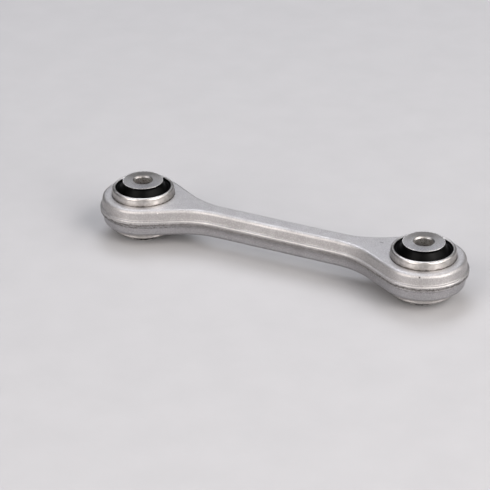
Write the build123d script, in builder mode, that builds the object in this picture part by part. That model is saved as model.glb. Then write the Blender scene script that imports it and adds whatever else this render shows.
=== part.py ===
from build123d import *
from math import asin, cos, degrees, radians, sin, sqrt, tan
import os

# Anti-roll bar link: a forged arm with a sealed ball-sleeve joint in each eye.
# Millimetres. Origin midway between the two ball centres, +X along the arm, +Z along the bores.
# Each joint is the same above and below its ball centre.

# Driving dimensions of the link
CENTRE_DISTANCE = 210.0
BORE_DIAMETER = 12.4
SLEEVE_LENGTH = 40.0
FACE_DIAMETER = 28.0
BALL_DIAMETER = 32.0
HOUSING_DIAMETER = 43.5
HOUSING_LENGTH = 31.0

# Forged arm: outline at the parting plane, draft of both die halves, trimmed flash land
EYE_RADIUS = 29.0
SHANK_WIDTH = 13.8
ARM_THICKNESS = 19.5
FLANK_ANGLE = 30.0
BLEND_RADIUS = 52.0
DRAFT = 3.75
DIE_STEP = 0.35
EDGE_RADIUS = 2.4
PARTING_HEIGHT = 0.5
LAND_PROUD = 1.25
LAND_BOTTOM = -0.9
LAND_TOP = 2.1
FLARE_TOP = 2.75
LAND_NOSE = 0.7
FLARE_FILLET = 0.4
EYE_CHAMFER = 0.4

# Ball sleeve: a neck each side of the ball, each ending in a clamping flange that thins to its rim
NECK_DIAMETER = 23.2
NECK_FILLET = 0.8
FLANGE_THICKNESS = 1.2
FLANGE_RIM = 0.25
FLANGE_CHAMFER = 0.1
BORE_CHAMFER = 0.9

# Bearing shells and race rings, all centred on the ball
RUNNING_GAP = 0.05
SPLIT_GAP = 0.3
SHELL_THICKNESS = 1.55
SHELL_HEIGHT = 8.0
RACE_SEAT_HEIGHT = 9.5
RACE_HEIGHT = 11.8
RACE_MOUTH_RADIUS = 16.8

# Housing sleeve: a wall that narrows to a thinner lip at each end, rolled over the boot's bead
HOUSING_WALL = 2.25
TAPER_START = 11.5
LIP_WALL = 1.0
ROLL_INSET = 0.25
ROLL_RADIUS = 1.4
ROLL_START = -20.0
ROLL_END = 125.0

# Slide ring: a collar on the neck with a rib that holds the boot
COLLAR_WALL = 1.15
COLLAR_START = 14.2
COLLAR_END = 18.7
RIB_PROUD = 0.6
RIB_START = 16.0
RIB_END = 17.2

# Boot, in radius and height above the ball centre: cuff, cone, foot, valley, bead
CUFF_RADIUS = 13.8
CUFF_BOTTOM = 15.2
CUFF_TOP = 19.45
CONE_TOP = (14.1, 18.0)
CONE_FOOT = (16.5, 14.5)
VALLEY = (18.1, 13.5)
WALL_INSIDE = (13.9, 14.2)
BEAD_INSIDE_RADIUS = 15.9
FOOT_FILLET = 0.9

# Heights and radii closer than this are taken for the same
SAME_PLACE = 0.05

# Worked out from the driving dimensions
EYE_X = CENTRE_DISTANCE / 2
ARM_HALF = ARM_THICKNESS / 2
SLEEVE_HALF = SLEEVE_LENGTH / 2
BORE_RADIUS = BORE_DIAMETER / 2
BALL_RADIUS = BALL_DIAMETER / 2
NECK_RADIUS = NECK_DIAMETER / 2
FACE_RADIUS = FACE_DIAMETER / 2
HOUSING_RADIUS = HOUSING_DIAMETER / 2
HOUSING_BORE = HOUSING_RADIUS - HOUSING_WALL
LIP_BORE = HOUSING_RADIUS - ROLL_INSET - LIP_WALL
ROLL_CENTRE = (HOUSING_RADIUS - ROLL_INSET - ROLL_RADIUS, HOUSING_LENGTH / 2 - ROLL_RADIUS)
SHELL_INNER = BALL_RADIUS + RUNNING_GAP
SHELL_OUTER = SHELL_INNER + SHELL_THICKNESS
RACE_SEAT = SHELL_OUTER + RUNNING_GAP
COLLAR_INNER = NECK_RADIUS + RUNNING_GAP
COLLAR_OUTER = COLLAR_INNER + COLLAR_WALL
RIB_OUTER = COLLAR_OUTER + RIB_PROUD


def section_plane(x, level):
    """Upright plane through the joint at x: its own x is the radius, its y the height towards one face."""
    return Plane(origin=(x, 0, 0), x_dir=(1, 0, 0), z_dir=(0, -level, 0))


def bore_axis(x):
    """Centre line of the bore of the joint at x."""
    return Axis((x, 0, 0), (0, 0, 1))


def elevation(radius, height):
    """Angle above the equator of the point at a height on a sphere, in degrees."""
    return degrees(asin(height / radius))


def arm_outline(grow):
    """Closed face of the arm's plan outline, moved outwards by grow: shank, concave blend, flank, eye."""
    half_width = SHANK_WIDTH / 2 + grow
    eye = EYE_RADIUS + grow
    blend = BLEND_RADIUS - grow
    slope = radians(FLANK_ANGLE)
    flank_end = (EYE_X - eye * sin(slope), eye * cos(slope))
    corner_x = flank_end[0] - (flank_end[1] - half_width) / tan(slope)
    with BuildSketch(mode=Mode.PRIVATE) as outline:
        with BuildLine():
            shank = Line((0, half_width), (corner_x - blend * tan(slope / 2), half_width))
            bend = JernArc(shank @ 1, shank % 1, blend, FLANK_ANGLE)
            flank = Line(bend @ 1, flank_end)
            tip = CenterArc((EYE_X, 0), eye, 90 + FLANK_ANGLE, -90 - FLANK_ANGLE)
            Polyline(tip @ 1, (0, 0), shank @ 0)
        make_face()
        mirror(about=Plane.XZ)
        mirror(about=Plane.YZ)
    return outline.sketch


# Forged arm: both drafted halves, the flash land between them, then the bores
def wall_at(height):
    """Growth of the outline at a height on the drafted wall: 0 at the parting plane, negative beyond it."""
    return -abs(height - PARTING_HEIGHT) * tan(radians(DRAFT))


def die_half(grow, level):
    """Half of the forging, drafted from the parting plane to its flat face, with the outer edge rounded."""
    with BuildPart() as half:
        for height in (PARTING_HEIGHT, level * ARM_HALF):
            with BuildSketch(Plane.XY.offset(height)):
                add(arm_outline(grow + wall_at(height)))
        loft(ruled=True)
        flat_face = half.faces().sort_by(Axis.Z)[-1 if level > 0 else 0]
        fillet(flat_face.outer_wire().edges(), EDGE_RADIUS)
    return half.part


def flash_land():
    """Trimmed band that stands out all round where the two dies met, flared into the wall above."""
    with BuildPart() as land:
        with BuildSketch(Plane.XY.offset(LAND_BOTTOM)):
            add(arm_outline(LAND_PROUD))
        extrude(amount=LAND_TOP - LAND_BOTTOM)
        for height, grow in ((LAND_TOP, LAND_PROUD), (FLARE_TOP, wall_at(FLARE_TOP))):
            with BuildSketch(Plane.XY.offset(height)):
                add(arm_outline(grow))
        loft(ruled=True)
        nose = land.edges().filter_by(lambda edge: abs(edge.center().Z - LAND_TOP) < SAME_PLACE)
        fillet(nose, LAND_NOSE)
    return land.part


def forged_arm():
    """The forging, bored through both eyes for the housing sleeves."""
    with BuildPart() as arm:
        add(die_half(0, 1))
        add(die_half(-DIE_STEP, -1))
        add(flash_land())
        flare_root = arm.edges().filter_by(lambda edge: abs(edge.center().Z - FLARE_TOP) < SAME_PLACE)
        fillet(flare_root, FLARE_FILLET)
        with Locations((EYE_X, 0, 0), (-EYE_X, 0, 0)):
            Hole(HOUSING_RADIUS)
        mouths = arm.faces().filter_by(Axis.Z).edges().filter_by(GeomType.CIRCLE)
        chamfer(mouths.filter_by(lambda edge: abs(edge.radius - HOUSING_RADIUS) < SAME_PLACE), EYE_CHAMFER)
    return arm.part


# Ball sleeve
def ball_sleeve(x):
    """Ball, two necks and two clamping flanges turned from one piece, with a bore through it."""
    neck_start = (NECK_RADIUS, sqrt(BALL_RADIUS**2 - NECK_RADIUS**2))
    with BuildPart() as sleeve:
        with BuildSketch(section_plane(x, 1)) as profile:
            with BuildLine():
                ball = CenterArc((0, 0), BALL_RADIUS, 0, elevation(BALL_RADIUS, neck_start[1]))
                Polyline(
                    ball @ 1,
                    (NECK_RADIUS, SLEEVE_HALF - FLANGE_THICKNESS),
                    (FACE_RADIUS, SLEEVE_HALF - FLANGE_RIM),
                    (FACE_RADIUS, SLEEVE_HALF),
                    (BORE_RADIUS, SLEEVE_HALF),
                    (BORE_RADIUS, 0),
                    ball @ 0,
                )
            make_face()
            fillet(profile.vertices().sort_by_distance((*neck_start, 0))[0], NECK_FILLET)
            chamfer(profile.vertices().sort_by_distance((FACE_RADIUS, SLEEVE_HALF, 0))[0], FLANGE_CHAMFER)
            chamfer(profile.vertices().sort_by_distance((BORE_RADIUS, SLEEVE_HALF, 0))[0], BORE_CHAMFER)
            mirror(about=Plane.XZ)
        revolve(axis=bore_axis(x))
    return sleeve.part


# Bearing shell and race ring
def bearing_shell(x, level):
    """Thin liner between ball and race: a zone of a hollow sphere on one side of the equator."""
    start = SPLIT_GAP / 2
    with BuildPart() as shell:
        with BuildSketch(section_plane(x, level)):
            with BuildLine():
                first = elevation(SHELL_INNER, start)
                inner = CenterArc((0, 0), SHELL_INNER, first, elevation(SHELL_INNER, SHELL_HEIGHT) - first)
                first = elevation(SHELL_OUTER, start)
                outer = CenterArc((0, 0), SHELL_OUTER, first, elevation(SHELL_OUTER, SHELL_HEIGHT) - first)
                Line(inner @ 0, outer @ 0)
                Line(inner @ 1, outer @ 1)
            make_face()
        revolve(axis=bore_axis(x))
    return shell.part


def race_ring(x, level):
    """Ring pressed into the housing: a spherical seat, then a cone that leaves room for the tilting neck."""
    start = SPLIT_GAP / 2
    with BuildPart() as ring:
        with BuildSketch(section_plane(x, level)):
            with BuildLine():
                first = elevation(RACE_SEAT, start)
                seat = CenterArc((0, 0), RACE_SEAT, first, elevation(RACE_SEAT, RACE_SEAT_HEIGHT) - first)
                Polyline(
                    seat @ 1,
                    (RACE_MOUTH_RADIUS, RACE_HEIGHT),
                    (HOUSING_BORE, RACE_HEIGHT),
                    (HOUSING_BORE, start),
                    seat @ 0,
                )
            make_face()
        revolve(axis=bore_axis(x))
    return ring.part


# Housing sleeve
def housing_sleeve(x):
    """Tube pressed into the arm's eye, with both lips rolled inwards over the boots' beads."""
    with BuildPart() as housing:
        with BuildSketch(section_plane(x, 1)):
            with BuildLine():
                outer_roll = CenterArc(ROLL_CENTRE, ROLL_RADIUS, ROLL_START, ROLL_END - ROLL_START)
                inner_roll = CenterArc(ROLL_CENTRE, ROLL_RADIUS - LIP_WALL, 0, ROLL_END)
                Line(outer_roll @ 1, inner_roll @ 1)
                Polyline(
                    inner_roll @ 0,
                    (LIP_BORE, RACE_HEIGHT),
                    (HOUSING_BORE, RACE_HEIGHT),
                    (HOUSING_BORE, 0),
                    (HOUSING_RADIUS, 0),
                    (HOUSING_RADIUS, TAPER_START),
                    outer_roll @ 0,
                )
            make_face()
            mirror(about=Plane.XZ)
        revolve(axis=bore_axis(x))
    return housing.part


# Slide ring and boot
def slide_ring(x, level):
    """Collar that turns on the ball sleeve's neck and carries the boot on its rib."""
    with BuildPart() as ring:
        with BuildSketch(section_plane(x, level)):
            with BuildLine():
                Polyline(
                    (COLLAR_INNER, COLLAR_START),
                    (COLLAR_OUTER, COLLAR_START),
                    (COLLAR_OUTER, RIB_START),
                    (RIB_OUTER, RIB_START),
                    (RIB_OUTER, RIB_END),
                    (COLLAR_OUTER, RIB_END),
                    (COLLAR_OUTER, COLLAR_END),
                    (COLLAR_INNER, COLLAR_END),
                    close=True,
                )
            make_face()
        revolve(axis=bore_axis(x))
    return ring.part


def boot(x, level):
    """Rubber boot from the slide ring's rib down a cone and a valley to the bead under the rolled lip."""
    with BuildPart() as rubber:
        with BuildSketch(section_plane(x, level)) as profile:
            with BuildLine():
                bead = CenterArc(ROLL_CENTRE, ROLL_RADIUS - LIP_WALL, 0, ROLL_END)
                Polyline(
                    bead @ 1,
                    VALLEY,
                    CONE_FOOT,
                    CONE_TOP,
                    (CUFF_RADIUS, CUFF_TOP),
                    (COLLAR_OUTER, COLLAR_END),
                    (COLLAR_OUTER, RIB_END),
                    (RIB_OUTER, RIB_END),
                    (RIB_OUTER, RIB_START),
                    (COLLAR_OUTER, RIB_START),
                    (COLLAR_OUTER, CUFF_BOTTOM),
                    WALL_INSIDE,
                    (BEAD_INSIDE_RADIUS, RACE_HEIGHT),
                    (LIP_BORE, RACE_HEIGHT),
                    bead @ 0,
                )
            make_face()
            for corner in (CONE_FOOT, VALLEY):
                fillet(profile.vertices().sort_by_distance((*corner, 0))[0], FOOT_FILLET)
        revolve(axis=bore_axis(x))
    return rubber.part


# All the pieces, by name
pieces = {"forged_arm": forged_arm()}
for side, x in (("left", -EYE_X), ("right", EYE_X)):
    pieces[f"{side}_housing_sleeve"] = housing_sleeve(x)
    pieces[f"{side}_ball_sleeve"] = ball_sleeve(x)
    for half, level in (("upper", 1), ("lower", -1)):
        pieces[f"{side}_{half}_race_ring"] = race_ring(x, level)
        pieces[f"{side}_{half}_bearing_shell"] = bearing_shell(x, level)
        pieces[f"{side}_{half}_slide_ring"] = slide_ring(x, level)
        pieces[f"{side}_{half}_boot"] = boot(x, level)

os.makedirs("parts", exist_ok=True)
for name, piece in pieces.items():
    piece.label = name
    export_step(piece, f"parts/{name}.step")
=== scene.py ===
import logging
import math
from collections.abc import Iterable, Mapping
from dataclasses import dataclass
from enum import Enum

import bpy
from mathutils import Matrix, Vector


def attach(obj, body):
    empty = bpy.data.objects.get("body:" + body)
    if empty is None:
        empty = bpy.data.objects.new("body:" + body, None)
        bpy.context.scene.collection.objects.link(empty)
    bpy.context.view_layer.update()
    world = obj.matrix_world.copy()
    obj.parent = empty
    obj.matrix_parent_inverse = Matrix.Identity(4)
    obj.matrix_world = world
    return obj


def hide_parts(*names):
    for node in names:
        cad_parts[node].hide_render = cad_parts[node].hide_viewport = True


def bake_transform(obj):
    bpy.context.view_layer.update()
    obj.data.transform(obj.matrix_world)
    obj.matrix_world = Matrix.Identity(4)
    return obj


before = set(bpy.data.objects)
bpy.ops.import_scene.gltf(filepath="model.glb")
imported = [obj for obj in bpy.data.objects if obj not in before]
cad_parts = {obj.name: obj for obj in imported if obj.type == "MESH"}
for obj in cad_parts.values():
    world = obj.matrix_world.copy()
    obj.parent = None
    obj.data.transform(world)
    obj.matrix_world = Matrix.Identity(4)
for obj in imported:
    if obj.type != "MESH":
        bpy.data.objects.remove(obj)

log = logging.getLogger("link")
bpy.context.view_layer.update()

# Lengths are in millimetres unless a name says otherwise, and MM turns them to metres
MM = 0.001
BALL_CENTRE_X = 105.0
HOUSING_REACH = 25.0
SAME_PLACE = 0.01
MERGED_WITHIN = 0.001
# Edges that turn less than this are shaded smooth
SMOOTH_BELOW_DEG = 40.0
# Inputs and output of the node that mixes two colours. They go by number, because it has others of the
# same names for plain numbers and vectors.
SHARE, UNDER, OVER, MIXED = 0, 6, 7, 2
# Levels between which most of a cloudy pattern lies
MOST = (0.3, 0.7)


class Side(Enum):
    """Which end of the link a piece belongs to."""

    LEFT = "left"
    RIGHT = "right"

    @property
    def x(self) -> float:
        """Place of that end's ball centre along the arm, in mm."""
        return -BALL_CENTRE_X if self is Side.LEFT else BALL_CENTRE_X


class Half(Enum):
    """Whether a piece is above or below the ball centre."""

    UPPER = "upper"
    LOWER = "lower"

    @property
    def level(self) -> int:
        """1 above the ball centre and -1 below it."""
        return 1 if self is Half.UPPER else -1


# Colours and shader nodes
def linear(sheet_colour: str, alpha: float = 1.0) -> tuple[float, float, float, float]:
    """Turns an sRGB hex colour to the linear values that a shader takes.

    Args:
        sheet_colour: the colour as #RRGGBB.
        alpha: the fourth value.

    Returns:
        Linear red, green, blue and alpha.
    """
    shares = [int(sheet_colour[i:i + 2], 16) / 255 for i in (1, 3, 5)]
    # The sRGB curve is straight for the darkest levels and a power above them
    red, green, blue = (s / 12.92 if s <= 0.04045 else ((s + 0.055) / 1.055) ** 2.4 for s in shares)
    return red, green, blue, alpha


def add_node(tree: bpy.types.NodeTree, kind: str, inputs: Mapping[str | int, object] | None = None,
             output: str | int | None = 0, **settings: object) -> bpy.types.NodeSocket | None:
    """Adds a node to a material, sets its options and fills its inputs.

    Args:
        tree: the material's nodes.
        kind: type name of the node.
        inputs: name or number of each input to fill, with a plain value or the output that feeds it.
        output: name or number of the output that is wanted, or None for a node that has none.
        settings: options of the node itself.

    Returns:
        The wanted output of the new node.
    """
    node = tree.nodes.new(kind)
    for option, value in settings.items():
        setattr(node, option, value)
    for place, value in (inputs or {}).items():
        if isinstance(value, bpy.types.NodeSocket):
            tree.links.new(value, node.inputs[place])
        else:
            node.inputs[place].default_value = value
    return None if output is None else node.outputs[output]


def empty_material(name: str) -> tuple[bpy.types.Material, bpy.types.NodeTree]:
    """Makes a material with no nodes in it.

    Args:
        name: the material's name.

    Returns:
        The material and its node tree.
    """
    material = bpy.data.materials.new(name)
    material.use_nodes = True
    material.node_tree.nodes.clear()
    return material, material.node_tree


@dataclass(frozen=True)
class Pattern:
    """Cloudy pattern from 0 to 1, whose patches are about size_mm across.

    The stretch says how many times narrower the patches are along X, Y and Z.
    """

    size_mm: float
    layers: float = 3.0
    layer_strength: float = 0.5
    stretch: tuple[float, float, float] = (1.0, 1.0, 1.0)

    def lay(self, tree: bpy.types.NodeTree, place: bpy.types.NodeSocket, dark: float = 0.0,
            light: float = 1.0, to_dark: float = 0.0, to_light: float = 1.0) -> bpy.types.NodeSocket:
        """Adds the pattern, spread smoothly between two of its levels.

        Args:
            tree: the material's nodes.
            place: output that gives the place on the piece, in metres.
            dark: level of the pattern that counts as its lowest.
            light: level of the pattern that counts as its highest.
            to_dark: what the lowest level becomes.
            to_light: what the highest level becomes.

        Returns:
            The output with the pattern.
        """
        stretched = add_node(tree, "ShaderNodeMapping", {"Vector": place, "Scale": self.stretch})
        clouds = add_node(tree, "ShaderNodeTexNoise", {
            "Vector": stretched, "Scale": 1 / (self.size_mm * MM), "Detail": self.layers,
            "Roughness": self.layer_strength})
        return add_node(tree, "ShaderNodeMapRange", {
            "Value": clouds, "From Min": dark, "From Max": light, "To Min": to_dark, "To Max": to_light},
            interpolation_type="SMOOTHSTEP")


@dataclass(frozen=True)
class JointCoordinates:
    """Places on a piece of either joint, measured from that joint's own axis."""

    tree: bpy.types.NodeTree

    def build(self) -> dict[str, bpy.types.NodeSocket]:
        """Adds the nodes.

        Returns:
            place, the plain place; flat, the place across the bore; radius and height from the ball centre,
            in metres; ring, the direction that runs round the bore; turned, a place that changes only with
            radius and height.
        """
        tree = self.tree
        place = add_node(tree, "ShaderNodeTexCoord", output="Object")
        along, across, up = (
            add_node(tree, "ShaderNodeSeparateXYZ", {0: place}, output=axis) for axis in "XYZ")
        end = add_node(tree, "ShaderNodeMath", {0: along}, operation="SIGN")
        centre = add_node(tree, "ShaderNodeMath", {0: end, 1: BALL_CENTRE_X * MM}, operation="MULTIPLY")
        from_axis = add_node(tree, "ShaderNodeMath", {0: along, 1: centre}, operation="SUBTRACT")
        flat = add_node(tree, "ShaderNodeCombineXYZ", {0: from_axis, 1: across})
        radius = add_node(tree, "ShaderNodeVectorMath", {0: flat}, output="Value", operation="LENGTH")
        ring = add_node(tree, "ShaderNodeVectorMath", {0: (0, 0, 1), 1: flat}, operation="CROSS_PRODUCT")
        height = add_node(tree, "ShaderNodeMath", {0: up}, operation="ABSOLUTE")
        turned = add_node(tree, "ShaderNodeCombineXYZ", {0: radius, 2: height})
        return {"place": place, "flat": flat, "radius": radius, "height": height, "ring": ring,
                "turned": turned}


# Finishes
@dataclass(frozen=True)
class Mark:
    """Small mark on the forging: where it is, how far it reaches along X, Y and Z, and what colour.

    Within the full share of its reach the colour is at its strongest, and it fades from there outwards.
    """

    place_mm: tuple[float, float, float]
    reach_mm: tuple[float, float, float]
    colour: str
    full_share: float = 0.4


# A pit drawn as a dark spot of painted shade, a smudge and a bright nick
MARKS = (
    # Painted shade in the pit
    Mark((113.5, -27.0, 8.5), (0.75, 0.75, 0.75), "#3A3836"),
    Mark((73.4, 4.6, 9.75), (2.2, 1.1, 1.0), "#8E8D8C"),
    Mark((-82.5, -20.0, 7.8), (0.8, 0.8, 0.6), "#E0DEDC"),
)


@dataclass(frozen=True)
class Streak:
    """Line along the parting, and how much of it shows in its gaps, on the shank and round the eyes.

    It lies between its bottom and its top, and each edge is the width over which it fades in.
    """

    colour: str
    bottom_mm: float
    top_mm: float
    in_gaps: float
    on_shank: float
    round_eyes: float
    bottom_edge_mm: float
    top_edge_mm: float = 0.3


# A dark line of torn metal on the land's face, deepened as painted shade; under it a line of painted shade
# on the wall below the land; on the shank both run into a soft band of painted shade; and above them a
# painted highlight on the nose of the land, on the shank
STREAKS = (
    # Torn metal on the land's face, deepened as painted shade
    Streak("#5C5957", bottom_mm=-1.5, top_mm=0.65, in_gaps=0.5, on_shank=0.5, round_eyes=1.0,
           bottom_edge_mm=0.9),
    # Painted shade on the wall under the land
    Streak("#5C5957", bottom_mm=-3.8, top_mm=-1.9, in_gaps=0.2, on_shank=0.2, round_eyes=1.0,
           bottom_edge_mm=1.3),
    # Soft band of painted shade over the lower wall of the shank
    Streak("#5C5957", bottom_mm=-6.0, top_mm=1.8, in_gaps=0.7, on_shank=0.55, round_eyes=0.0,
           bottom_edge_mm=5.0, top_edge_mm=2.2),
    # Painted highlight on the nose of the land, on the shank
    Streak("#C2C0BF", bottom_mm=1.3, top_mm=2.7, in_gaps=0.9, on_shank=1.0, round_eyes=0.0,
           bottom_edge_mm=0.5, top_edge_mm=0.8),
)


@dataclass(frozen=True)
class ForgedAluminium:
    """Forged and shot-blasted aluminium: pale, dull and gritty, with torn lines where the flash was
    trimmed, painted shade along and under the flash, and a painted highlight on its nose.
    """

    name: str = "forged_aluminium_shot_blasted"
    pale: str = "#B3B1B1"
    dull: str = "#A8A6A6"
    dull_levels: tuple[float, float] = (0.35, 0.65)
    glint: str = "#C4C2C2"
    glint_levels: tuple[float, float] = (0.50, 0.30)
    shade: str = "#A09E9E"
    shade_levels: tuple[float, float] = (0.50, 0.70)
    # Painted shade: the half under the flash is multiplied by this, a little darker and cooler
    lower_half_painted_shade: str = "#EBECEF"
    parting_mm: float = -1.05
    roughness: tuple[float, float] = (0.44, 0.58)
    clouds: Pattern = Pattern(14.0, layers=4.0)
    grit: Pattern = Pattern(0.9, layers=3.5, layer_strength=0.8)
    grit_depth_mm: float = 0.11
    waves: Pattern = Pattern(9.0, layers=1.0)
    wave_depth_mm: float = 0.04
    streaks: tuple[Streak, ...] = STREAKS
    streak_slope: float = 0.0038
    breaks: Pattern = Pattern(2.4, layer_strength=0.8, stretch=(1.0, 1.0, 3.0))
    break_levels: tuple[float, float] = (0.40, 0.62)
    eye_reach_mm: tuple[float, float] = (55.0, 85.0)
    wander: Pattern = Pattern(4.0, layers=4.0, layer_strength=0.8)
    wander_mm: float = 0.9
    calm_on_shank: float = 0.5
    marks: tuple[Mark, ...] = MARKS

    def build(self) -> bpy.types.Material:
        """Lays out the finish.

        Returns:
            The new material.
        """
        material, tree = empty_material(self.name)
        place = add_node(tree, "ShaderNodeTexCoord", output="Object")
        colour = self.blasted(tree, place)
        colour = self.streak(tree, place, colour)
        colour = self.mark(tree, place, colour)
        normal = add_node(tree, "ShaderNodeBump", {
            "Height": self.waves.lay(tree, place), "Distance": self.wave_depth_mm * MM, "Strength": 1.0})
        normal = add_node(tree, "ShaderNodeBump", {
            "Height": self.grit.lay(tree, place), "Distance": self.grit_depth_mm * MM, "Strength": 1.0,
            "Normal": normal})
        shader = add_node(tree, "ShaderNodeBsdfPrincipled", {
            "Base Color": colour, "Metallic": 1.0, "Normal": normal,
            "Roughness": self.clouds.lay(tree, place, *MOST, *self.roughness)})
        add_node(tree, "ShaderNodeOutputMaterial", {0: shader}, output=None)
        return material

    def blasted(self, tree: bpy.types.NodeTree, place: bpy.types.NodeSocket) -> bpy.types.NodeSocket:
        """Cloudy metal with bright and dark grit, and painted shade on the half under the flash, which is a
        little darker and cooler.

        Args:
            tree: the material's nodes.
            place: output that gives the place on the forging, in metres.

        Returns:
            The output with the colour.
        """
        colour = add_node(tree, "ShaderNodeMix", {
            SHARE: self.clouds.lay(tree, place, *self.dull_levels),
            UNDER: linear(self.pale), OVER: linear(self.dull)}, output=MIXED, data_type="RGBA")
        # Blasting leaves marks of about 0.3 mm; they are drawn three times as coarse so that they show
        for grain, levels in ((self.glint, self.glint_levels), (self.shade, self.shade_levels)):
            colour = add_node(tree, "ShaderNodeMix", {
                SHARE: self.grit.lay(tree, place, *levels), UNDER: colour, OVER: linear(grain)},
                output=MIXED, data_type="RGBA")
        # Painted shade on the half under the flash
        up = add_node(tree, "ShaderNodeSeparateXYZ", {0: place}, output="Z")
        below = add_node(tree, "ShaderNodeMath", {0: up, 1: self.parting_mm * MM}, operation="LESS_THAN")
        return add_node(tree, "ShaderNodeMix", {
            SHARE: below, UNDER: colour, OVER: linear(self.lower_half_painted_shade)},
            output=MIXED, data_type="RGBA", blend_type="MULTIPLY")

    def streak(self, tree: bpy.types.NodeTree, place: bpy.types.NodeSocket,
               colour: bpy.types.NodeSocket) -> bpy.types.NodeSocket:
        """Broken, wandering lines along the trimmed flash, a little lower at the left end: torn metal,
        painted shade and a painted highlight.

        Args:
            tree: the material's nodes.
            place: output that gives the place on the forging, in metres.
            colour: output with the colour under the lines.

        Returns:
            The output with the colour.
        """
        along, up = (add_node(tree, "ShaderNodeSeparateXYZ", {0: place}, output=axis) for axis in "XZ")
        level = add_node(tree, "ShaderNodeMath", {0: along, 1: -self.streak_slope, 2: up},
                         operation="MULTIPLY_ADD")
        from_middle = add_node(tree, "ShaderNodeMath", {0: along}, operation="ABSOLUTE")
        shank_end, eye_start = (reach * MM for reach in self.eye_reach_mm)
        wander = self.wander.lay(tree, place, 0.0, 1.0, -self.wander_mm * MM, self.wander_mm * MM)
        calm = add_node(tree, "ShaderNodeMapRange", {
            "Value": from_middle, "From Min": shank_end, "From Max": eye_start,
            "To Min": self.calm_on_shank, "To Max": 1.0})
        level = add_node(tree, "ShaderNodeMath", {0: wander, 1: calm, 2: level}, operation="MULTIPLY_ADD")
        for streak in self.streaks:
            line = add_node(tree, "ShaderNodeMapRange", {
                "Value": from_middle, "From Min": shank_end, "From Max": eye_start,
                "To Min": streak.on_shank, "To Max": streak.round_eyes})
            breaks = self.breaks.lay(tree, place, *self.break_levels, streak.in_gaps, 1.0)
            line = add_node(tree, "ShaderNodeMath", {0: line, 1: breaks}, operation="MULTIPLY")
            for start, end in ((streak.bottom_mm, streak.bottom_mm + streak.bottom_edge_mm),
                               (streak.top_mm, streak.top_mm - streak.top_edge_mm)):
                edge = add_node(tree, "ShaderNodeMapRange", {
                    "Value": level, "From Min": start * MM, "From Max": end * MM},
                    interpolation_type="SMOOTHSTEP")
                line = add_node(tree, "ShaderNodeMath", {0: line, 1: edge}, operation="MULTIPLY")
            colour = add_node(tree, "ShaderNodeMix", {
                SHARE: line, UNDER: colour, OVER: linear(streak.colour)}, output=MIXED, data_type="RGBA")
        return colour

    def mark(self, tree: bpy.types.NodeTree, place: bpy.types.NodeSocket,
             colour: bpy.types.NodeSocket) -> bpy.types.NodeSocket:
        """The few marks that the forging has picked up.

        Args:
            tree: the material's nodes.
            place: output that gives the place on the forging, in metres.
            colour: output with the colour under the marks.

        Returns:
            The output with the colour.
        """
        for mark in self.marks:
            offset = add_node(tree, "ShaderNodeVectorMath", {
                0: place, 1: tuple(axis * MM for axis in mark.place_mm)}, operation="SUBTRACT")
            reach = add_node(tree, "ShaderNodeVectorMath", {
                0: offset, 1: tuple(axis * MM for axis in mark.reach_mm)}, operation="DIVIDE")
            distance = add_node(
                tree, "ShaderNodeVectorMath", {0: reach}, output="Value", operation="LENGTH")
            share = add_node(tree, "ShaderNodeMapRange", {
                "Value": distance, "From Min": 1.0, "From Max": mark.full_share},
                interpolation_type="SMOOTHSTEP")
            colour = add_node(tree, "ShaderNodeMix", {
                SHARE: share, UNDER: colour, OVER: linear(mark.colour)}, output=MIXED, data_type="RGBA")
        return colour


@dataclass(frozen=True)
class ZincPlatedSteel:
    """Satin zinc plate on pressed steel: pale grey, finely marked round the tube, with painted shade at its
    feet where it meets the arm.
    """

    name: str = "zinc_plated_steel_pressed"
    bright: str = "#C1BEBC"
    blotch: str = "#ADAAA7"
    blotch_levels: tuple[float, float] = (0.35, 0.7)
    # Painted shade in the corners where the tube meets the arm
    corner_painted_shade: str = "#7E7A76"
    corner_shade_reach_mm: tuple[float, float] = (10.7, 9.9)
    corner_shade_ragged_mm: float = 0.5
    roughness: tuple[float, float] = (0.32, 0.42)
    blotches: Pattern = Pattern(2.6)
    lines: Pattern = Pattern(3.0, layer_strength=0.7, stretch=(1.0, 1.0, 9.0))
    line_depth_mm: float = 0.006
    dents: Pattern = Pattern(0.75, layers=3.0, layer_strength=0.8)
    dent_depth_mm: float = 0.018

    def build(self) -> bpy.types.Material:
        """Lays out the finish.

        Returns:
            The new material.
        """
        material, tree = empty_material(self.name)
        here = JointCoordinates(tree).build()
        place = here["place"]
        colour = add_node(tree, "ShaderNodeMix", {
            SHARE: self.blotches.lay(tree, place, *self.blotch_levels),
            UNDER: linear(self.bright), OVER: linear(self.blotch)}, output=MIXED, data_type="RGBA")
        # Painted shade in the corners where the tube meets the arm, above and below it, ragged along its
        # edge
        ragged = self.blotches.lay(tree, place, *MOST, -self.corner_shade_ragged_mm * MM, self.corner_shade_ragged_mm * MM)
        level = add_node(tree, "ShaderNodeMath", {0: here["height"], 1: ragged}, operation="ADD")
        start, end = (reach * MM for reach in self.corner_shade_reach_mm)
        shaded_corner = add_node(tree, "ShaderNodeMapRange", {"Value": level, "From Min": start, "From Max": end},
                         interpolation_type="SMOOTHSTEP")
        colour = add_node(tree, "ShaderNodeMix", {SHARE: shaded_corner, UNDER: colour, OVER: linear(self.corner_painted_shade)},
                          output=MIXED, data_type="RGBA")
        normal = add_node(tree, "ShaderNodeBump", {
            "Height": self.dents.lay(tree, place), "Distance": self.dent_depth_mm * MM, "Strength": 1.0})
        normal = add_node(tree, "ShaderNodeBump", {
            "Height": self.lines.lay(tree, place), "Distance": self.line_depth_mm * MM, "Strength": 1.0,
            "Normal": normal})
        shader = add_node(tree, "ShaderNodeBsdfPrincipled", {
            "Base Color": colour, "Metallic": 1.0, "Normal": normal,
            "Roughness": self.lines.lay(tree, place, *MOST, *self.roughness)})
        add_node(tree, "ShaderNodeOutputMaterial", {0: shader}, output=None)
        return material


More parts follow.
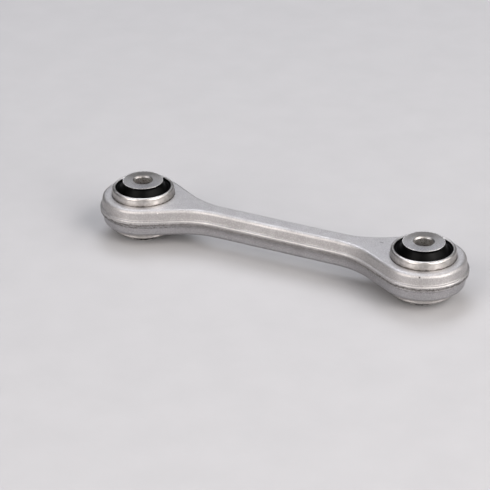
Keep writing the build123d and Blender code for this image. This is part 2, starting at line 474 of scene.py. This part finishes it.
@dataclass(frozen=True)
class TurnedSteel:
    """Turned steel: grey, with a sheen that follows its fine rings, brownish where oil has dried and darker
    on that side as painted shade, with a painted highlight round its rim and painted light in its bore.
    """

    name: str = "turned_steel"
    clean: str = "#C6C5C6"
    # Dried oil, with painted shade on the same side
    stained_and_shaded: str = "#A29E9A"
    groove: str = "#8E8B89"
    groove_levels: tuple[float, float] = (0.45, 0.65)
    groove_share: float = 0.35
    # Painted light: the bore is given a much brighter colour than the outside
    bore: str = "#F2F0EE"
    bore_radius_mm: float = 6.4
    bore_blot: str = "#B4B0AC"
    blot_levels: tuple[float, float] = (0.40, 0.65)
    speck: str = "#7B7876"
    speck_levels: tuple[float, float] = (0.45, 0.80)
    specks: Pattern = Pattern(1.0, layers=2.0, layer_strength=0.8)
    speck_depth_mm: float = 0.03
    # Painted highlight round the rim of the face
    rim_highlight_colour: str = "#F6F4F2"
    rim_highlight_reach_mm: tuple[float, float] = (13.35, 13.75)
    highlight_breaks: Pattern = Pattern(1.5)
    highlight_break_levels: tuple[float, float] = (0.35, 0.6)
    roughness: tuple[float, float] = (0.30, 0.42)
    stain_and_shade_patches: Pattern = Pattern(9.0)
    stain_and_shade_ragged_mm: float = 4.0
    stain_and_shade_side: tuple[float, float, float] = (-0.46, 0.89, 0.0)
    stain_and_shade_reach_mm: tuple[float, float] = (-11.0, 9.0)
    rings: Pattern = Pattern(0.8, layers=2.0)
    ring_depth_mm: float = 0.006
    ring_sheen: float = 0.2

    def build(self) -> bpy.types.Material:
        """Lays out the finish.

        Returns:
            The new material.
        """
        material, tree = empty_material(self.name)
        here = JointCoordinates(tree).build()
        # Turning leaves rings about 0.2 mm apart; they are drawn four times as wide so that they show
        rings = self.rings.lay(tree, here["turned"])
        # Dried oil tints the face brownish towards the back and a little to the left, and darkens it there
        # as painted shade
        across = add_node(tree, "ShaderNodeVectorMath", {0: here["flat"], 1: self.stain_and_shade_side},
                          output="Value", operation="DOT_PRODUCT")
        ragged_edge = self.stain_and_shade_patches.lay(
            tree, here["place"], 0.0, 1.0, -self.stain_and_shade_ragged_mm * MM, self.stain_and_shade_ragged_mm * MM)
        stain_and_shade_level = add_node(tree, "ShaderNodeMath", {0: across, 1: ragged_edge}, operation="ADD")
        start, end = (reach * MM for reach in self.stain_and_shade_reach_mm)
        oil = add_node(tree, "ShaderNodeMapRange", {"Value": stain_and_shade_level, "From Min": start, "From Max": end})
        colour = add_node(tree, "ShaderNodeMix", {
            SHARE: oil, UNDER: linear(self.clean), OVER: linear(self.stained_and_shaded)},
            output=MIXED, data_type="RGBA")
        grooves = self.rings.lay(tree, here["turned"], *self.groove_levels, 0.0, self.groove_share)
        colour = add_node(tree, "ShaderNodeMix", {SHARE: grooves, UNDER: colour, OVER: linear(self.groove)},
                          output=MIXED, data_type="RGBA")
        # The bore is reamed; its colour is painted much brighter than the outside, as painted light in the
        # shaded hole
        inside = add_node(tree, "ShaderNodeMath", {0: here["radius"], 1: self.bore_radius_mm * MM},
                          operation="LESS_THAN")
        blots = self.specks.lay(tree, here["place"], *self.blot_levels)
        bore = add_node(tree, "ShaderNodeMix", {
            SHARE: blots, UNDER: linear(self.bore), OVER: linear(self.bore_blot)},
            output=MIXED, data_type="RGBA")
        colour = add_node(tree, "ShaderNodeMix", {
            SHARE: self.specks.lay(tree, here["place"], *self.speck_levels),
            UNDER: colour, OVER: linear(self.speck)}, output=MIXED, data_type="RGBA")
        colour = add_node(tree, "ShaderNodeMix", {SHARE: inside, UNDER: colour, OVER: bore},
                          output=MIXED, data_type="RGBA")
        # Painted highlight round the rim of the face, broken into patches
        start, end = (reach * MM for reach in self.rim_highlight_reach_mm)
        rim = add_node(tree, "ShaderNodeMapRange", {
            "Value": here["radius"], "From Min": start, "From Max": end})
        highlight_breaks = self.highlight_breaks.lay(tree, here["place"], *self.highlight_break_levels)
        rim = add_node(tree, "ShaderNodeMath", {0: rim, 1: highlight_breaks}, operation="MULTIPLY")
        colour = add_node(tree, "ShaderNodeMix", {SHARE: rim, UNDER: colour, OVER: linear(self.rim_highlight_colour)},
                          output=MIXED, data_type="RGBA")
        normal = add_node(tree, "ShaderNodeBump", {
            "Height": rings, "Distance": self.ring_depth_mm * MM, "Strength": 1.0})
        normal = add_node(tree, "ShaderNodeBump", {
            "Height": self.specks.lay(tree, here["place"]), "Distance": self.speck_depth_mm * MM,
            "Strength": 1.0, "Normal": normal})
        shader = add_node(tree, "ShaderNodeBsdfPrincipled", {
            "Base Color": colour, "Metallic": 1.0, "Normal": normal, "Tangent": here["ring"],
            "Anisotropic": self.ring_sheen,
            "Roughness": self.rings.lay(tree, here["turned"], *MOST, *self.roughness)})
        add_node(tree, "ShaderNodeOutputMaterial", {0: shader}, output=None)
        return material


@dataclass(frozen=True)
class GroundSteel:
    """Ground bearing steel: cool grey with close fine lines."""

    name: str = "ground_bearing_steel"
    bright: str = "#C6C8CB"
    dark: str = "#A9ABAF"
    roughness: tuple[float, float] = (0.18, 0.30)
    lines: Pattern = Pattern(0.3, layers=1.0)
    line_depth_mm: float = 0.004

    def build(self) -> bpy.types.Material:
        """Lays out the finish.

        Returns:
            The new material.
        """
        material, tree = empty_material(self.name)
        turned = JointCoordinates(tree).build()["turned"]
        lines = self.lines.lay(tree, turned)
        colour = add_node(tree, "ShaderNodeMix", {
            SHARE: lines, UNDER: linear(self.bright), OVER: linear(self.dark)},
            output=MIXED, data_type="RGBA")
        normal = add_node(tree, "ShaderNodeBump", {
            "Height": lines, "Distance": self.line_depth_mm * MM, "Strength": 1.0})
        shader = add_node(tree, "ShaderNodeBsdfPrincipled", {
            "Base Color": colour, "Metallic": 1.0, "Normal": normal,
            "Roughness": self.lines.lay(tree, turned, *MOST, *self.roughness)})
        add_node(tree, "ShaderNodeOutputMaterial", {0: shader}, output=None)
        return material


@dataclass(frozen=True)
class Moulding:
    """Moulded plastic or rubber: one dark or pale colour with a faint bloom and a fine moulded grain."""

    name: str
    body: str
    bloom: str
    roughness: tuple[float, float]
    ior: float
    gloss: float
    grain: Pattern
    grain_depth_mm: float
    blooms: Pattern = Pattern(5.0)
    bloom_levels: tuple[float, float] = (0.45, 0.75)

    def build(self) -> bpy.types.Material:
        """Lays out the finish.

        Returns:
            The new material.
        """
        material, tree = empty_material(self.name)
        place = add_node(tree, "ShaderNodeTexCoord", output="Object")
        colour = add_node(tree, "ShaderNodeMix", {
            SHARE: self.blooms.lay(tree, place, *self.bloom_levels),
            UNDER: linear(self.body), OVER: linear(self.bloom)}, output=MIXED, data_type="RGBA")
        normal = add_node(tree, "ShaderNodeBump", {
            "Height": self.grain.lay(tree, place), "Distance": self.grain_depth_mm * MM, "Strength": 1.0})
        shader = add_node(tree, "ShaderNodeBsdfPrincipled", {
            "Base Color": colour, "Metallic": 0.0, "IOR": self.ior, "Specular IOR Level": self.gloss,
            "Normal": normal, "Roughness": self.blooms.lay(tree, place, *MOST, *self.roughness)})
        add_node(tree, "ShaderNodeOutputMaterial", {0: shader}, output=None)
        return material


# Nearly black with a soft sheen and a trace of grey bloom
BOOT_RUBBER = Moulding(
    "nitrile_rubber_moulded", body="#020202", bloom="#060606", roughness=(0.34, 0.48), ior=1.52, gloss=0.06,
    grain=Pattern(0.5, layers=2.0), grain_depth_mm=0.010)
# Milky white and waxy
BEARING_ACETAL = Moulding(
    "acetal_moulded", body="#E4E1D6", bloom="#D6D2C4", roughness=(0.28, 0.40), ior=1.48, gloss=0.5,
    grain=Pattern(0.4, layers=2.0), grain_depth_mm=0.004)
# Dark with a dull sheen
SLIDE_RING_NYLON = Moulding(
    "nylon_moulded", body="#101011", bloom="#1C1C1C", roughness=(0.35, 0.50), ior=1.53, gloss=0.5,
    grain=Pattern(0.4, layers=2.0), grain_depth_mm=0.006)


@dataclass(frozen=True)
class FloorPaper:
    """Matt pale grey studio paper."""

    name: str = "studio_paper"
    pale: str = "#A9A9AB"
    shade: str = "#A4A4A6"
    roughness: float = 0.8
    fibres: Pattern = Pattern(30.0)

    def build(self) -> bpy.types.Material:
        """Lays out the finish.

        Returns:
            The new material.
        """
        material, tree = empty_material(self.name)
        place = add_node(tree, "ShaderNodeTexCoord", output="Object")
        colour = add_node(tree, "ShaderNodeMix", {
            SHARE: self.fibres.lay(tree, place), UNDER: linear(self.pale), OVER: linear(self.shade)},
            output=MIXED, data_type="RGBA")
        shader = add_node(tree, "ShaderNodeBsdfPrincipled", {
            "Base Color": colour, "Roughness": self.roughness})
        add_node(tree, "ShaderNodeOutputMaterial", {0: shader}, output=None)
        return material


# Bench work on meshes
def put_down_everything() -> None:
    """Leaves no object selected, so that an operator acts only on the piece in hand."""
    bpy.ops.object.select_all(action="DESELECT")


def dress(piece: bpy.types.Object, material: bpy.types.Material) -> None:
    """Gives a piece one material all over."""
    piece.data.materials.clear()
    piece.data.materials.append(material)


def finish_modifiers(piece: bpy.types.Object) -> None:
    """Applies the modifiers of the piece in hand, in order."""
    for name in [modifier.name for modifier in piece.modifiers]:
        bpy.ops.object.modifier_apply(modifier=name)


@dataclass
class RingWork:
    """A piece shaped ring by ring round a joint's axis, from one circle to a closed wall.

    Its edges are rounded, apart from those where it meets its neighbour, at the seams' radii and heights.
    """

    name: str
    side: Side
    half: Half
    rings: Iterable[tuple[float, float]]
    seams: Iterable[tuple[float, float]] = ()
    segments: int = 144
    edge_width: float = 0.09
    edge_steps: int = 3
    sharp_from_deg: float = 24.0

    def build(self) -> bpy.types.Object:
        """Shapes the piece.

        Returns:
            The piece, closed, with its place in its mesh.
        """
        put_down_everything()
        (radius, height), *others = self.rings
        bpy.ops.mesh.primitive_circle_add(
            vertices=self.segments, radius=radius * MM,
            location=(self.side.x * MM, 0, self.half.level * height * MM))
        piece = bpy.context.object
        piece.name = self.name
        bpy.ops.object.transform_apply(location=True)
        bpy.ops.object.mode_set(mode="EDIT")
        bpy.ops.mesh.select_mode(type="EDGE")
        bpy.ops.mesh.select_all(action="SELECT")
        for next_radius, next_height in others:
            rise = self.half.level * (next_height - height) * MM
            growth = next_radius / radius
            bpy.ops.mesh.extrude_edges_move(TRANSFORM_OT_translate={"value": (0, 0, rise)})
            bpy.ops.transform.resize(value=(growth, growth, 1), center_override=(self.side.x * MM, 0, 0))
            radius, height = next_radius, next_height
        bpy.ops.mesh.select_all(action="DESELECT")
        bpy.ops.mesh.select_non_manifold(
            extend=False, use_wire=False, use_boundary=True, use_multi_face=False,
            use_non_contiguous=False, use_verts=False)
        bpy.ops.mesh.bridge_edge_loops()
        bpy.ops.mesh.select_all(action="SELECT")
        bpy.ops.mesh.normals_make_consistent(inside=False)
        bpy.ops.mesh.select_all(action="DESELECT")
        bpy.ops.mesh.edges_select_sharp(sharpness=math.radians(self.sharp_from_deg))
        bpy.ops.object.mode_set(mode="OBJECT")
        self.spare_seams(piece)
        bpy.ops.object.mode_set(mode="EDIT")
        bpy.ops.transform.edge_bevelweight(value=1.0)
        bpy.ops.object.mode_set(mode="OBJECT")
        rounding = piece.modifiers.new("edges", "BEVEL")
        rounding.limit_method = "WEIGHT"
        rounding.width = self.edge_width * MM
        rounding.segments = self.edge_steps
        finish_modifiers(piece)
        bpy.ops.object.shade_smooth_by_angle(angle=math.radians(SMOOTH_BELOW_DEG))
        return piece

    def spare_seams(self, piece: bpy.types.Object) -> None:
        """Leaves the edges of the seams out of the sharp edges that are selected.

        Args:
            piece: the piece whose edges are selected.
        """
        mesh = piece.data
        for edge in mesh.edges:
            for radius, height in self.seams:
                corner = mesh.vertices[edge.vertices[0]].co
                from_axis = math.hypot(corner.x - self.side.x * MM, corner.y)
                if math.isclose(from_axis, radius * MM, abs_tol=SAME_PLACE * MM) and math.isclose(
                        abs(corner.z), height * MM, abs_tol=SAME_PLACE * MM):
                    edge.select = False


@dataclass
class Boot:
    """Rubber boot of one half of a joint: bead under the rolled lip, valley, cone and cuff.

    Radii are measured from the bore's axis and heights from the ball centre.
    """

    side: Side
    half: Half
    material: bpy.types.Material
    seat_height: float = 11.85
    bead_radius: float = 20.35
    bead_height: float = 14.1
    bead_top_radius: float = 20.15
    lip_radius: float = 19.85
    lip_height: float = 14.45
    slope_radius: float = 19.35
    slope_height: float = 14.25
    undercut_radius: float = 19.2
    undercut_height: float = 12.9
    valley_radius: float = 18.1
    valley_height: float = 13.5
    valley_half_width: float = 0.6
    valley_bank: float = 0.14
    valley_wall: float = 0.35
    toe_radius: float = 16.95
    toe_height: float = 14.0
    inner_toe_radius: float = 17.0
    inner_toe_height: float = 13.45
    foot_radius: float = 16.5
    foot_height: float = 14.5
    inner_foot_radius: float = 16.3
    inner_foot_height: float = 14.2
    seam_radius: float = 16.3
    seam_height: float = 15.1
    seam_wall: float = 0.25
    waist_radius: float = 15.0
    waist_height: float = 16.7
    bend_end: float = 17.5
    cone_radius: float = 14.05
    cone_height: float = 18.1
    inner_cone_height: float = 17.7
    cuff_radius: float = 13.85
    cuff_wall: float = 0.3
    cuff_bottom: float = 17.8
    cuff_foot: float = 18.3
    cuff_top: float = 19.5
    collar_radius: float = 12.85
    collar_top: float = 18.7

    def bead(self) -> bpy.types.Object:
        """Shapes the thick ring under the lip, in to the bottom of the valley, cut back underneath.

        Returns:
            The bead.
        """
        return self.shape("bead", [
            (self.bead_radius, self.seat_height),
            (self.bead_radius, self.bead_height),
            (self.bead_top_radius, self.lip_height),
            (self.lip_radius, self.lip_height),
            (self.slope_radius, self.slope_height),
            (self.valley_radius + self.valley_half_width, self.valley_height + self.valley_bank),
            (self.valley_radius, self.valley_height),
            (self.valley_radius, self.valley_height - self.valley_wall),
            (self.undercut_radius, self.undercut_height),
            (self.undercut_radius, self.seat_height),
        ])

    def skirt(self) -> bpy.types.Object:
        """Shapes the wall from the bottom of the valley over the foot to the seam, low on the cone.

        Returns:
            The skirt.
        """
        return self.shape("skirt", [
            (self.valley_radius, self.valley_height),
            (self.valley_radius - self.valley_half_width, self.valley_height + self.valley_bank),
            (self.toe_radius, self.toe_height),
            (self.foot_radius, self.foot_height),
            (self.seam_radius, self.seam_height),
            (self.seam_radius - self.seam_wall, self.seam_height),
            (self.inner_foot_radius, self.inner_foot_height),
            (self.inner_toe_radius, self.inner_toe_height),
            (self.valley_radius, self.valley_height - self.valley_wall),
        ])

    def cone(self) -> bpy.types.Object:
        """Shapes the wall from the seam over the waist to the foot of the cuff.

        Returns:
            The cone.
        """
        return self.shape("cone", [
            (self.seam_radius, self.seam_height),
            (self.waist_radius, self.waist_height),
            (self.cone_radius, self.cone_height),
            (self.cuff_radius, self.cuff_foot),
            (self.cuff_radius - self.cuff_wall, self.cuff_foot),
            (self.cuff_radius - self.cuff_wall, self.inner_cone_height),
            (self.seam_radius - self.seam_wall, self.seam_height),
        ])

    def cuff(self) -> bpy.types.Object:
        """Shapes the short sleeve that grips the top of the slide ring.

        Returns:
            The cuff.
        """
        return self.shape("cuff", [
            (self.cuff_radius - self.cuff_wall, self.cuff_bottom),
            (self.cuff_radius - self.cuff_wall, self.cuff_foot),
            (self.cuff_radius, self.cuff_foot),
            (self.cuff_radius, self.cuff_top),
            (self.collar_radius, self.collar_top),
            (self.collar_radius, self.cuff_bottom),
        ])

    def shape(self, part: str, rings: list[tuple[float, float]]) -> bpy.types.Object:
        """Shapes one piece of the boot and gives it its rubber.

        Args:
            part: the piece's own name.
            rings: radius and height of its rings, in mm, from the ball centre.

        Returns:
            The dressed piece.
        """
        name = f"{self.side.value}_{self.half.value}_boot_{part}"
        seams = ((self.valley_radius, self.valley_height), (self.seam_radius, self.seam_height))
        piece = RingWork(name, self.side, self.half, rings, seams).build()
        dress(piece, self.material)
        return piece

    def build(self) -> None:
        """Shapes the four pieces, hangs the bead on the arm and the cuff on the slide rings, and leaves the
        skirt and the cone where they are.
        """
        node = f"{self.side.value}_{self.half.value}_boot"
        shells, rings = f"{self.side.value}_bearing_shells", f"{self.side.value}_slide_rings"
        bead, skirt, cone, cuff = self.bead(), self.skirt(), self.cone(), self.cuff()
        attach(bead, "arm")
        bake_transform(skirt)
        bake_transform(cone)
        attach(cuff, rings)
        for piece in (bead, skirt, cone, cuff):
            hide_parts(node)
            log.info("%s: %d faces", piece.name, len(piece.data.polygons))


@dataclass
class JointCartridge:
    """Steel and plastic pieces of one joint that the frame already holds, and its two boots."""

    side: Side
    finishes: dict[str, bpy.types.Material]

    def build(self) -> None:
        """Dresses the frame's nodes and adds the boots."""
        side = self.side.value
        self.dress_node(f"{side}_housing_sleeve", "housing")
        self.dress_node(f"{side}_ball_sleeve", "turned")
        for half in Half:
            self.dress_node(f"{side}_{half.value}_race_ring", "race")
            self.dress_node(f"{side}_{half.value}_bearing_shell", "acetal")
            self.dress_node(f"{side}_{half.value}_slide_ring", "nylon")
            Boot(self.side, half, self.finishes["rubber"]).build()

    def dress_node(self, node: str, finish: str) -> None:
        """Gives one of the frame's nodes its finish."""
        dress(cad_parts[node], self.finishes[finish])
        log.info("%s: dressed in %s", node, self.finishes[finish].name)


@dataclass(frozen=True)
class Roughening:
    """Cloudy noise that moves a surface.

    Its size and depth are in millimetres. The direction is an axis or the surface's own normal, the middle
    is the level that moves nothing, and the group, where there is one, is the part of the piece that moves.
    """

    name: str
    size: float
    depth: float
    direction: str
    middle: float
    group: str = ""
    detail: int = 3

    def add_to(self, piece: bpy.types.Object) -> None:
        """Adds the noise as a modifier.

        Args:
            piece: the piece that it moves.
        """
        noise = bpy.data.textures.new(self.name, "CLOUDS")
        noise.noise_scale = self.size * MM
        noise.noise_depth = self.detail
        modifier = piece.modifiers.new(self.name, "DISPLACE")
        modifier.texture = noise
        modifier.texture_coords = "LOCAL"
        modifier.direction = self.direction
        modifier.mid_level = self.middle
        modifier.strength = self.depth * MM
        modifier.vertex_group = self.group


# The fringe is torn up and down towards its free edge, and dented only inwards
FREE_EDGE = "low"
FRINGE_ROUGHENINGS = (
    Roughening("tear", size=0.9, depth=0.75, direction="Z", middle=0.5, group=FREE_EDGE),
    Roughening("dent", size=0.6, depth=0.22, direction="NORMAL", middle=1.0),
)


@dataclass
class Burr:
    """Torn fringe of metal that hangs from the lower edge of the flash land, all round the forging."""

    material: bpy.types.Material
    root_height: float = -0.7
    drop: float = 0.7
    rows: int = 3
    longest_edge: float = 0.55
    thickness: float = 0.35
    roughenings: tuple[Roughening, ...] = FRINGE_ROUGHENINGS

    def build(self) -> bpy.types.Object:
        """Shapes the fringe from the forging's own outline.

        Returns:
            The closed, dressed fringe.
        """
        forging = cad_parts["forged_arm"]
        piece = bpy.data.objects.new("flash_burr", forging.data.copy())
        bpy.context.scene.collection.objects.link(piece)
        put_down_everything()
        bpy.context.view_layer.objects.active = piece
        piece.select_set(True)
        self.keep_outline()
        self.even_out(piece)
        self.pull_down(piece)
        self.roughen(piece)
        dress(piece, self.material)
        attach(piece, "arm")
        log.info("%s: %d faces", piece.name, len(piece.data.polygons))
        return piece

    def keep_outline(self) -> None:
        """Cuts the copy down to one loop of edges round the outside of the land."""
        bpy.ops.object.mode_set(mode="EDIT")
        bpy.ops.mesh.select_mode(type="VERT")
        bpy.ops.mesh.select_all(action="SELECT")
        bpy.ops.mesh.remove_doubles(threshold=MERGED_WITHIN * MM)
        bpy.ops.mesh.bisect(plane_co=(0, 0, self.root_height * MM), plane_no=(0, 0, 1),
                            clear_inner=True, clear_outer=True)
        bpy.ops.mesh.select_all(action="DESELECT")
        bpy.ops.object.mode_set(mode="OBJECT")
        piece = bpy.context.object
        for vertex in piece.data.vertices:
            from_axis = math.hypot(abs(vertex.co.x) - BALL_CENTRE_X * MM, vertex.co.y)
            vertex.select = from_axis < HOUSING_REACH * MM
        bpy.ops.object.mode_set(mode="EDIT")
        bpy.ops.mesh.delete(type="VERT")
        bpy.ops.object.mode_set(mode="OBJECT")

    def even_out(self, piece: bpy.types.Object) -> None:
        """Halves the loop's long edges until none is longer than the limit.

        Args:
            piece: the loop.
        """
        mesh = piece.data
        while True:
            too_long = [edge.index for edge in mesh.edges
                        if (mesh.vertices[edge.vertices[0]].co - mesh.vertices[edge.vertices[1]].co).length
                        > self.longest_edge * MM]
            if not too_long:
                return
            bpy.ops.object.mode_set(mode="EDIT")
            bpy.ops.mesh.select_mode(type="EDGE")
            bpy.ops.mesh.select_all(action="DESELECT")
            bpy.ops.object.mode_set(mode="OBJECT")
            for index in too_long:
                mesh.edges[index].select = True
            bpy.ops.object.mode_set(mode="EDIT")
            bpy.ops.mesh.subdivide(number_cuts=1)
            bpy.ops.object.mode_set(mode="OBJECT")

    def pull_down(self, piece: bpy.types.Object) -> None:
        """Extrudes the loop downwards, row by row, into a thin wall.

        Args:
            piece: the loop.
        """
        bpy.ops.object.mode_set(mode="EDIT")
        bpy.ops.mesh.select_all(action="SELECT")
        for _ in range(self.rows):
            bpy.ops.mesh.extrude_edges_move(
                TRANSFORM_OT_translate={"value": (0, 0, -self.drop / self.rows * MM)})
        bpy.ops.mesh.select_all(action="SELECT")
        bpy.ops.mesh.normals_make_consistent(inside=False)
        bpy.ops.object.mode_set(mode="OBJECT")
        low = piece.vertex_groups.new(name=FREE_EDGE)
        for vertex in piece.data.vertices:
            low.add([vertex.index], (self.root_height * MM - vertex.co.z) / (self.drop * MM), "REPLACE")

    def roughen(self, piece: bpy.types.Object) -> None:
        """Tears the lower edge, dents the wall and gives it its thickness, inwards from its face.

        Args:
            piece: the thin wall.
        """
        for roughening in self.roughenings:
            roughening.add_to(piece)
        wall = piece.modifiers.new("wall", "SOLIDIFY")
        wall.thickness = self.thickness * MM
        wall.offset = -1
        finish_modifiers(piece)
        bpy.ops.object.shade_smooth_by_angle(angle=math.radians(SMOOTH_BELOW_DEG))


@dataclass
class Arm:
    """The forging between the two joints, with the torn fringe of its flash."""

    material: bpy.types.Material

    def build(self) -> None:
        """Dresses the forging and adds the fringe."""
        dress(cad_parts["forged_arm"], self.material)
        log.info("forged_arm: dressed in %s", self.material.name)
        Burr(self.material).build()


# Studio
def towards(turn_deg: float, height_deg: float) -> Vector:
    """Direction from the link at a turn to the right of its front and an angle above the floor."""
    turn, height = math.radians(turn_deg), math.radians(height_deg)
    return Vector((math.sin(turn) * math.cos(height), -math.cos(turn) * math.cos(height), math.sin(height)))


@dataclass
class Camera:
    """Camera at the place from which the link is seen, a little above and to the right."""

    yaw_deg: float = 27.378
    elevation_deg: float = 27.635
    roll_deg: float = -0.624
    distance_mm: float = 1281.97
    slide_right_mm: float = -22.797
    slide_up_mm: float = -6.072
    field_of_view_deg: float = 14.73

    def build(self) -> None:
        """Adds the camera and makes it the scene's own."""
        yaw, roll = math.radians(self.yaw_deg), math.radians(self.roll_deg)
        back = towards(self.yaw_deg, self.elevation_deg)
        level_right = Vector((math.cos(yaw), math.sin(yaw), 0))
        level_up = back.cross(level_right)
        right = level_right * math.cos(roll) + level_up * math.sin(roll)
        up = level_up * math.cos(roll) - level_right * math.sin(roll)
        data = bpy.data.cameras.new("camera")
        data.angle = math.radians(self.field_of_view_deg)
        camera = bpy.data.objects.new("camera", data)
        bpy.context.scene.collection.objects.link(camera)
        place = (back * self.distance_mm + right * self.slide_right_mm + up * self.slide_up_mm) * MM
        camera.matrix_world = Matrix.Translation(place) @ Matrix((right, up, back)).transposed().to_4x4()
        bpy.context.scene.camera = camera


@dataclass(frozen=True)
class Softbox:
    """One soft studio light that faces the link, at a turn and a height in degrees seen from it."""

    name: str
    turn_deg: float
    height_deg: float
    size_m: tuple[float, float]
    watts: float
    tint: str
    distance_m: float = 2.6

    def build(self) -> None:
        """Adds the light."""
        direction = towards(self.turn_deg, self.height_deg)
        data = bpy.data.lights.new(self.name, "AREA")
        data.shape = "RECTANGLE"
        data.size, data.size_y = self.size_m
        data.energy = self.watts
        data.color = linear(self.tint)[:3]
        light = bpy.data.objects.new(self.name, data)
        bpy.context.scene.collection.objects.link(light)
        light.location = direction * self.distance_m
        light.rotation_euler = (-direction).to_track_quat("-Z", "Y").to_euler()


SOFTBOXES = (
    Softbox("right_key", turn_deg=70, height_deg=28, size_m=(1.5, 2.4), watts=98.0, tint="#FFF9F5"),
    Softbox("left_key", turn_deg=-15, height_deg=24, size_m=(1.5, 2.4), watts=62.0, tint="#FFF8F3"),
    Softbox("back_top", turn_deg=207, height_deg=60, size_m=(1.6, 1.6), watts=40.0, tint="#F6F8FF"),
    Softbox("right_back", turn_deg=115, height_deg=38, size_m=(1.5, 1.5), watts=22.0, tint="#FFFDFB"),
    Softbox("left_top", turn_deg=-60, height_deg=63, size_m=(1.5, 1.5), watts=18.0, tint="#F9FAFF"),
)


@dataclass
class Studio:
    """Pale floor, soft lights and camera."""

    floor_size_m: float = 8.0
    floor_height_mm: float = -20.02
    sky: str = "#8F9298"
    sky_strength: float = 0.06
    softboxes: tuple[Softbox, ...] = SOFTBOXES

    def build(self) -> None:
        """Adds the floor, the lights and the camera."""
        put_down_everything()
        bpy.ops.mesh.primitive_plane_add(
            size=self.floor_size_m, location=(0, 0, self.floor_height_mm * MM))
        floor = bpy.context.object
        floor.name = "floor"
        dress(floor, FloorPaper().build())
        world = bpy.data.worlds.new("studio")
        world.use_nodes = True
        background = world.node_tree.nodes["Background"]
        background.inputs["Color"].default_value = linear(self.sky)
        background.inputs["Strength"].default_value = self.sky_strength
        bpy.context.scene.world = world
        for softbox in self.softboxes:
            softbox.build()
        Camera().build()
        bpy.context.scene.view_settings.view_transform = "Standard"


def main() -> None:
    """Builds the link's looks, then the studio round it."""
    logging.basicConfig(level=logging.INFO, format="%(name)s: %(message)s")
    Arm(ForgedAluminium().build()).build()
    finishes = {
        "housing": ZincPlatedSteel().build(),
        "turned": TurnedSteel().build(),
        "race": GroundSteel().build(),
        "acetal": BEARING_ACETAL.build(),
        "nylon": SLIDE_RING_NYLON.build(),
        "rubber": BOOT_RUBBER.build(),
    }
    for side in Side:
        JointCartridge(side, finishes).build()
    Studio().build()


if __name__ == "__main__":
    main()
